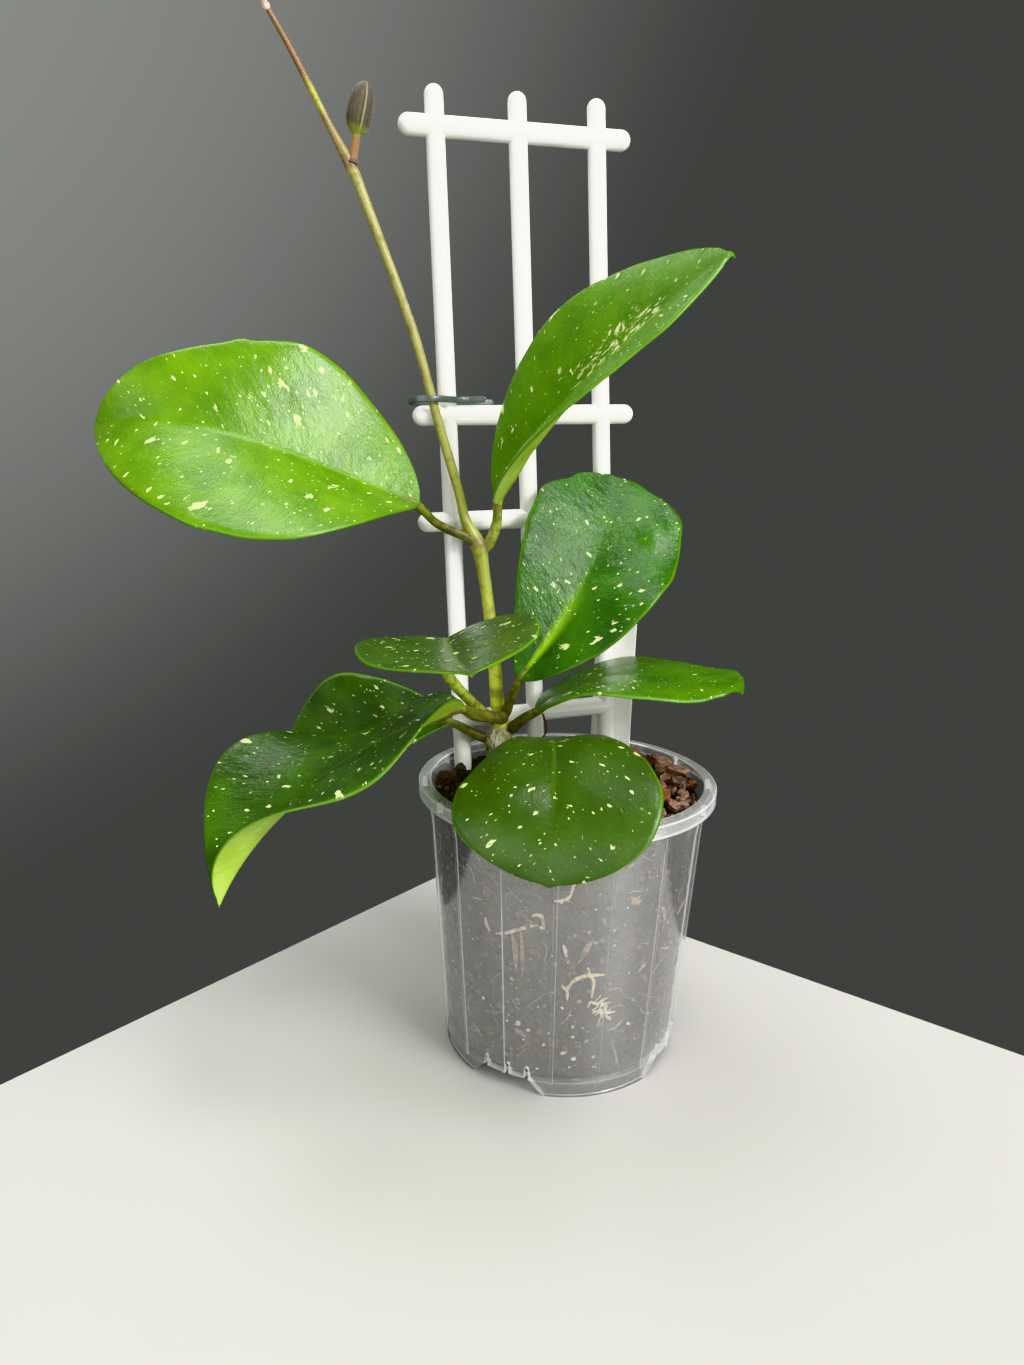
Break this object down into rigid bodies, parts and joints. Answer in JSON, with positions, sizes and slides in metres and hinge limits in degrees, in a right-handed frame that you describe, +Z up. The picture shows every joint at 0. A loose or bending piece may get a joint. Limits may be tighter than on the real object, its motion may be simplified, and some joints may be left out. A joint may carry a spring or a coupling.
{
  "type": "potted hoya plant",
  "caption": "Hoya with large speckled oval leaves and a long bare shoot, growing in a clear plastic nursery pot and clipped to a white moulded trellis.",
  "frame": {"origin": "middle of the flat foot under the pot, on the surface that the pot stands on", "axes": "+Z up; +X along the trellis's bars, to the right when seen from the front; +Y from the front of the plant to the back, where the trellis stands"},
  "size_m": [0.261, 0.1506, 0.4215],
  "materials": {
    "clear_plastic": "clear, slightly milky",
    "white_plastic": "glossy moulded",
    "label_plastic": "satin, blank",
    "clip_plastic": "smoky, slightly see-through",
    "stem": "smooth green bark, tan and fissured at the base",
    "bud": "downy, dark olive",
    "leaf": "waxy green with cream flecks",
    "potting_mix": "crumbly, damp",
    "bark": "rough, fibrous",
    "root": "dry, woody"
  },
  "bodies": {
    "root": {"pot": "clear_plastic", "trellis": "white_plastic", "plant_label": "label_plastic", "stem_clip": "clip_plastic", "main_stem": "stem", "folded_leaf_bud": "bud", "potting_mix": "potting_mix", "aerial_root": "root", "leaf_1": "leaf", "leaf_2": "leaf", "leaf_3": "leaf", "leaf_4": "leaf", "leaf_5": "leaf", "leaf_6": "leaf", "leaf_7": "leaf", "leaf_8": "leaf", "bark_chip_1": "bark", "bark_chip_2": "bark", "bark_chip_3": "bark", "bark_chip_4": "bark", "bark_chip_5": "bark", "bark_chip_6": "bark", "bark_chip_7": "bark", "bark_chip_8": "bark", "bark_chip_9": "bark", "bark_chip_10": "bark", "bark_chip_11": "bark", "bark_chip_12": "bark", "bark_chip_13": "bark", "bark_chip_14": "bark", "wall_root_1": "root", "wall_root_2": "root", "wall_root_3": "root", "wall_root_4": "root"}
  },
  "joints": []
}
